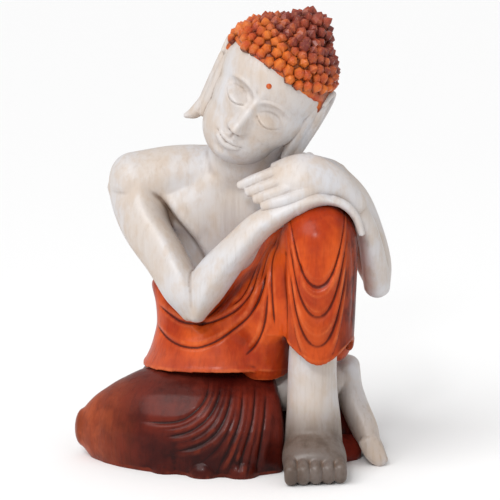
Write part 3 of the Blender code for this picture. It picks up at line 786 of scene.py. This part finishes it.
# The head is made upright with its eye line at 0, then bowed, leant to its left and turned. The face leans
# further than the skull. Angles are in degrees.
HEAD_CENTRE, HEAD_BOW, HEAD_LEAN, HEAD_TURN, FACE_LEAN = (26, -27, 323), 10, 28, -10, 10
HEAD_PLACE = Matrix.LocRotScale(
    Vector(HEAD_CENTRE), Euler([math.radians(angle) for angle in (HEAD_BOW, HEAD_LEAN, HEAD_TURN)]), None
)
FACE_TURN = np.array(Matrix.Rotation(math.radians(FACE_LEAN), 3, "Y"))
CRANIUM_CENTRE, CRANIUM = np.array((0, 6, 22.0)), np.array((47, 48, 46.0))
TOPKNOT_CENTRE, TOPKNOT = np.array((7, 17, 64.0)), np.array((18, 18, 17.0))
HAIR_THICKNESS, CAP_SINK = 2.5, 5
CURL_PITCH, CURL_RADIUS, CURL_SEED = 8.8, 5.6, 5
# Each ring of a curl: its height, and its width as a share of the radius.
CURL_PROFILE = np.array(((-3.0, 1.0), (0.4, 1.0), (2.2, 0.86), (4.0, 0.55), (5.6, 0.06)))


def placed(points):
    """Points of the upright head, turned and moved to where the head leans."""
    return points @ np.array(HEAD_PLACE.to_3x3()).T + np.array(HEAD_PLACE.translation)


def in_face(points):
    """Points of the upright head as the face has them."""
    return points @ FACE_TURN


def face_height(x, z):
    """How far the face stands out, from its middle plane x = 0 and its eye line z = 0.

    It is a sum of mounds, and of ridges along curves z = c + k (|x| - m)^2 for the lids, brows and lips.
    """
    aside = np.abs(x)
    down = np.clip((11 - z) / 31, 0, 1)
    nose = (2.2 + 9.5 * down**1.25) * np.exp(-np.abs(x / (3.4 + 3.0 * down)) ** 2.4)
    nose *= rise(z, -26, -21.5) * rise(-z, -24, -6)
    nose += 2.6 * bump(x, z, 0, -19.5, 5, 4.2)
    wings = 4.4 * bump(x, z, 7.2, -20.6, 3.3, 3.6) - 2.4 * bump(x, z, 3.9, -24.6, 1.6, 1.2)
    sockets = -6.4 * bump(x, z, 16.5, 5, 12, 7.0) + 6.8 * bump(x, z, 18, -0.8, 10.5, 5.8)
    lash = -5.2 + 0.036 * (aside - 18) ** 2
    lids = -2.2 * swell(z, lash, 0.9) + 0.7 * swell(z, lash + 1.7, 1.0)
    lids *= rise(-np.abs(aside - 18), -12.5, -10)
    fold = 6.4 - 0.032 * (aside - 17.5) ** 2
    lids -= 0.9 * swell(z, fold, 0.9) * rise(-np.abs(aside - 17.5), -12.5, -9)
    arch = 14.2 - 0.020 * (aside - 17) ** 2
    brows = 2.2 * swell(z, arch, 2.0) * rise(-aside, -35, -28) * rise(aside, 1, 5)
    top = -31.2 + swell(aside, 3, 2.4) - 0.10 * np.clip(aside - 4, 0, None) ** 1.4
    part = -35.4 + 0.013 * x**2 - 0.5 * swell(x, 0, 3)
    low = -41.8 + 0.030 * x**2
    upper = rise(top - z, -0.6, 0.6) * rise(z - part, -0.4, 1.2) * 2.6
    lower = rise(part - z, -0.4, 1.4) * rise(z - low, -1.2, 1.6) * 3.2
    lips = (upper + lower) * rise(-aside, -13.5, -10) * (1 - 0.45 * (aside / 13) ** 2)
    lips -= 1.5 * swell(z, part, 0.8) * rise(-aside, -15, -12)
    groove = -1.0 * bump(x, z, 0, -28, 1.7, 3.2) - 0.8 * bump(x, z, 14.2, -34.6, 2.0, 2.2)
    soft = 3.2 * bump(x, z, 0, -36, 16, 12) + 2.4 * bump(x, z, 23, -19, 13, 12)
    soft += 4.2 * bump(x, z, 0, -53, 10.5, 6.8) - 1.2 * bump(x, z, 0, -45.5, 8, 2.6)
    return nose + wings + sockets + lids + brows + lips + groove + soft


def hairline(points):
    """Above 0 where the head is covered in hair: a low arch over the brow, down behind the ears."""
    x, y, z = in_face(points).T
    return z - (38 - 0.004 * x**2 - 3.0 * np.clip(y + 9, 0, None))


def ear_forms(side):
    """A long ear: a flat shell, a rim carried round it, an inner ridge and a heavy lobe."""
    rim = [(-3, 22), (2, 30), (10, 31), (17, 24), (18, 12), (14, -2), (9, -14), (5, -26)]
    ridge = [(1, 14), (5, 21), (11, 20), (12, 10), (8, 0), (3, -6)]
    return [
        limb([(side * 42, 3, 20, 6, 11), (side * 42, 2, 0, 6, 12), (side * 40.5, 0, -20, 6.5, 11),
              (side * 41, -1, -36, 5, 8)], sides=28),
        limb([(side * 46, 8, 27, 3.4, 8), (side * 48.5, 9, 13, 4, 12), (side * 48, 7, -5, 4, 10),
              (side * 45.5, 4, -21, 5.2, 8.5), (side * 45.5, 2, -32, 6.2, 8.5),
              (side * 48.5, 0, -41, 5.5, 7), (side * 54, -1, -47, 2.4, 3.6)], sides=28),
        limb([(side * (48.5 + 2.6 * math.sin(math.pi * n / 7)), y, z, 3.0, 2.4)
              for n, (y, z) in enumerate(rim)], sides=16, steps=6),
        limb([(side * 50, y, z, 2.2, 1.8) for y, z in ridge], sides=14, steps=6),
    ]


def head_carving():
    """The bare head with its face and ears."""
    skull = Carving("skull", [
        egg(CRANIUM_CENTRE, CRANIUM, 72),
        egg((0, -2, -4), (42, 42, 41), 72), egg((-5, -7, -27), (35, 34, 35), 72),
    ], HEAD_GRID * 1.25, 33)
    x, y, z = in_face(skull.points).T
    front = rise(-skull.normals[:, 1], 0.05, 0.5) * rise(-y, 5, 15)
    skull.put(skull.points - np.outer(face_height(x, z) * front, (0, 1, 0)))
    head = Carving("head", [skull.form(), *ear_forms(-1), *ear_forms(1)], HEAD_GRID, 2)
    head.put(placed(head.points))
    return head


def on_egg(centre, half, polar, turn):
    """Where a direction meets an ellipsoid, and the way out of it there."""
    unit = np.array([math.sin(polar) * math.sin(turn), math.sin(polar) * math.cos(turn), math.cos(polar)])
    out = unit / half
    return unit * half + centre, out / np.linalg.norm(out)


def rows_of_curls(centre, half, lowest):
    """Places in rows from the crown down, packed like honeycomb: each row is turned half a step."""
    rows = round(lowest * half[1:].mean() / (0.87 * CURL_PITCH))
    for row in range(rows):
        polar = lowest * row / rows
        count = max(1, round(2 * math.pi * half[:2].mean() * math.sin(polar) / CURL_PITCH))
        for n in range(count):
            yield on_egg(centre, half, polar, 2 * math.pi * (n + 0.5 * (row % 2)) / count)


def curl_places():
    """The curls of the hair and of the topknot, without those that the other one covers."""
    cranium = CRANIUM + HAIR_THICKNESS
    for place, out in rows_of_curls(CRANIUM_CENTRE, cranium, math.pi):
        clear = np.linalg.norm((place - TOPKNOT_CENTRE) / (TOPKNOT + 2)) > 1
        by_ear = abs(place[0]) > 38 and place[1] < 24 and place[2] < 34
        if clear and not by_ear and hairline(place[None])[0] > CURL_RADIUS * 0.3:
            yield place, out
    for place, out in rows_of_curls(TOPKNOT_CENTRE, TOPKNOT, 0.62 * math.pi):
        if np.linalg.norm((place - CRANIUM_CENTRE) / (cranium + 3)) > 1:
            yield place, out


def curl(place, out, sides, turned, size, lean):
    """A pointed stud of flat facets: place + h out + h^2 lean + w (side cos t + third sin t)."""
    side = np.cross(out, (0.3, 0.2, 1.0))
    side /= np.linalg.norm(side)
    turn = turned + np.linspace(0, 2 * math.pi, sides, endpoint=False)
    third = np.cross(out, side)
    round_it = np.cos(turn)[:, None] * side + np.sin(turn)[:, None] * third
    height, width = CURL_PROFILE[:, 0] * size, CURL_PROFILE[:, 1] * size * CURL_RADIUS
    centre = place + height[:, None] * out + np.outer(np.clip(height, 0, None) ** 2, lean)
    return closed_rings(centre[:, None, :] + width[:, None, None] * round_it[None])


def crown_share(points):
    """0 at the hairline and 1 on the crown."""
    share = rise(points[:, 2] + 0.3 * points[:, 1] + 0.25 * points[:, 0], 30, 84)
    return share * rise(hairline(points), 0, 14)


def hair_pieces(paint):
    """The cap and the topknot under the curls as one carving, and all the curls as one mesh."""
    unit = directions(120)
    skin = unit * (CRANIUM + HAIR_THICKNESS) + CRANIUM_CENTRE
    cover = rise(hairline(skin.reshape(-1, 3)), -1.5, 1.5).reshape(unit.shape[:2])
    half = CRANIUM - CAP_SINK + (HAIR_THICKNESS + CAP_SINK) * cover[..., None]
    cap_points = unit * half + CRANIUM_CENTRE
    cap = Carving("hair_cap", [closed_rings(cap_points), egg(TOPKNOT_CENTRE, TOPKNOT, 48)], HAIR_GRID, 1)
    # The cap is marked deep inside the hairline, where painted shade darkens it in the gaps between the
    # curls.
    crown, deep = crown_share(cap.points), rise(hairline(cap.points), 2, 9)
    cap.put(placed(cap.points))
    cap.finish(paint, crown=crown, foot=0.8 * deep)

    dice = np.random.default_rng(CURL_SEED)
    studs, crowns, feet = [], [], []
    for place, out in curl_places():
        jitter = np.cross(out, dice.normal(0, 0.9, 3))
        stud = curl(place + jitter, out, dice.integers(5, 7), dice.uniform(0, 1.2),
                    dice.uniform(0.88, 1.14), np.array((0, 0, 0.03)) + dice.normal(0, 0.02, 3))
        studs.append(stud)
        crowns.append(crown_share(np.tile(place, (len(stud[0]), 1))))
        # The feet of the curls are marked for painted shade.
        feet.append(rise(-((stud[0] - place) @ out), -3.4, 0.2))
    mesh = head_mesh("curls", *joined(studs))
    mesh.shade_flat()
    add_piece("curls", mesh, paint, crown=np.concatenate(crowns), foot=np.concatenate(feet))


def head_mesh(name, points, faces):
    """A mesh of points of the upright head, put on the leaning head, in metres of the CAD's frame."""
    mesh = bpy.data.meshes.new(name)
    mesh.from_pydata(((placed(points) + SET_DOWN) * MM).tolist(), [], faces)
    return mesh


def forehead_mark(paint):
    """A small round dot on the brow, a little proud of it."""
    points, faces = egg((0, -40.2, 25), (2.6, 3.2, 2.6), 24)
    mesh = head_mesh("forehead_mark", points @ FACE_TURN.T, faces)
    mesh.shade_smooth()
    add_piece("forehead_mark", mesh, paint)


# The whole figure


def dress():
    """Makes every piece of the figure. The legs, the skirt and the base are sawn flat at the ground."""
    paint = paints()
    wood = paint["wood"]
    Carving("body", [trunk().form(), *arm_forms()], BODY_GRID, 10).finish(wood)
    Carving("right_hand", right_hand_forms(), FINE_GRID, 2).finish(wood)
    Carving("left_hand", left_hand_forms(), FINE_GRID, 5).finish(wood)
    for leg in (front_leg("front_leg"), back_leg("back_leg")):
        leg.saw_flat()
        leg.finish(wood)
    head_carving().finish(wood)
    robe = Carving("robe", robe_forms(), CLOTH_GRID, 7)
    carve_robe(robe)
    robe.finish(paint["robe"])
    skirt = Carving("skirt", skirt_forms(), CLOTH_GRID, 11)
    carve_skirt(skirt)
    skirt.saw_flat()
    skirt.finish(paint["skirt"])
    seat = limb([(20, 10, 8, 40, 20), (60, 0, 8, 44, 20), (100, 10, 6, 30, 18)], across=AWAY)
    base = Carving("base", [seat], BASE_GRID, 4)
    base.saw_flat()
    base.finish(paint["base"])
    hair_pieces(paint["hair"])
    forehead_mark(paint["hair"])


# Studio and camera


FLOOR_SIZE = 2000
FIGURE_MIDDLE = Vector((0, 0, 0.2))
# The picture's size and the figure's middle in it, in pixels, and a pixel's width at that middle.
PICTURE, MIDDLE_COLUMN, MIDDLE_ROW, METRES_PER_PIXEL = 500, 233, 236, 0.000886


def studio():
    """A pale floor, a big soft light from the left and above, and a window of light for the gloss.

    The floor is so large that its far edge is out of the picture.
    """
    bpy.ops.mesh.primitive_plane_add(size=FLOOR_SIZE)
    floor = bpy.context.object
    floor.name = "floor"
    ground = bpy.data.materials.new("pale_floor")
    ground.use_nodes = True
    sockets = ground.node_tree.nodes["Principled BSDF"].inputs
    sockets["Base Color"].default_value = (0.92, 0.92, 0.92, 1)
    sockets["Roughness"].default_value = 0.9
    floor.data.materials.append(ground)
    world = bpy.data.worlds.new("studio")
    world.use_nodes = True
    sockets = world.node_tree.nodes["Background"].inputs
    sockets["Color"].default_value = (1, 1, 1, 1)
    sockets["Strength"].default_value = 0.7
    bpy.context.scene.world = world
    sky, window = bpy.data.lights.new("sky", "SUN"), bpy.data.lights.new("window", "AREA")
    sky.energy, sky.angle = 1.6, 0.7
    window.energy, window.size = 5.0, 0.17
    for light, place in ((sky, (-0.7, -0.75, 1.3)), (window, (-0.25, -1.3, 0.95))):
        aim(bpy.data.objects.new(light.name, light), Vector(place), FIGURE_MIDDLE)


def aim(thing, place, target):
    """Puts a light or a camera in the scene at a place, looking at a target."""
    bpy.context.scene.collection.objects.link(thing)
    thing.matrix_world = Matrix.LocRotScale(place, (target - place).to_track_quat("-Z", "Y"), None)


def camera():
    """Looks at the middle of the figure from 1.5 m in front and a little above."""
    distance, lift = 1.5, math.radians(8)
    data = bpy.data.cameras.new("camera")
    data.sensor_width = 36
    data.lens = data.sensor_width * distance / (PICTURE * METRES_PER_PIXEL)
    data.shift_x = (PICTURE / 2 - MIDDLE_COLUMN) / PICTURE
    data.shift_y = -(PICTURE / 2 - MIDDLE_ROW) / PICTURE
    looker = bpy.data.objects.new("camera", data)
    target = Vector(SET_DOWN * MM) + FIGURE_MIDDLE
    aim(looker, target + distance * Vector((0, -math.cos(lift), math.sin(lift))), target)
    bpy.context.scene.camera = looker


dress()
studio()
camera()
bpy.context.scene.view_settings.view_transform = "Standard"
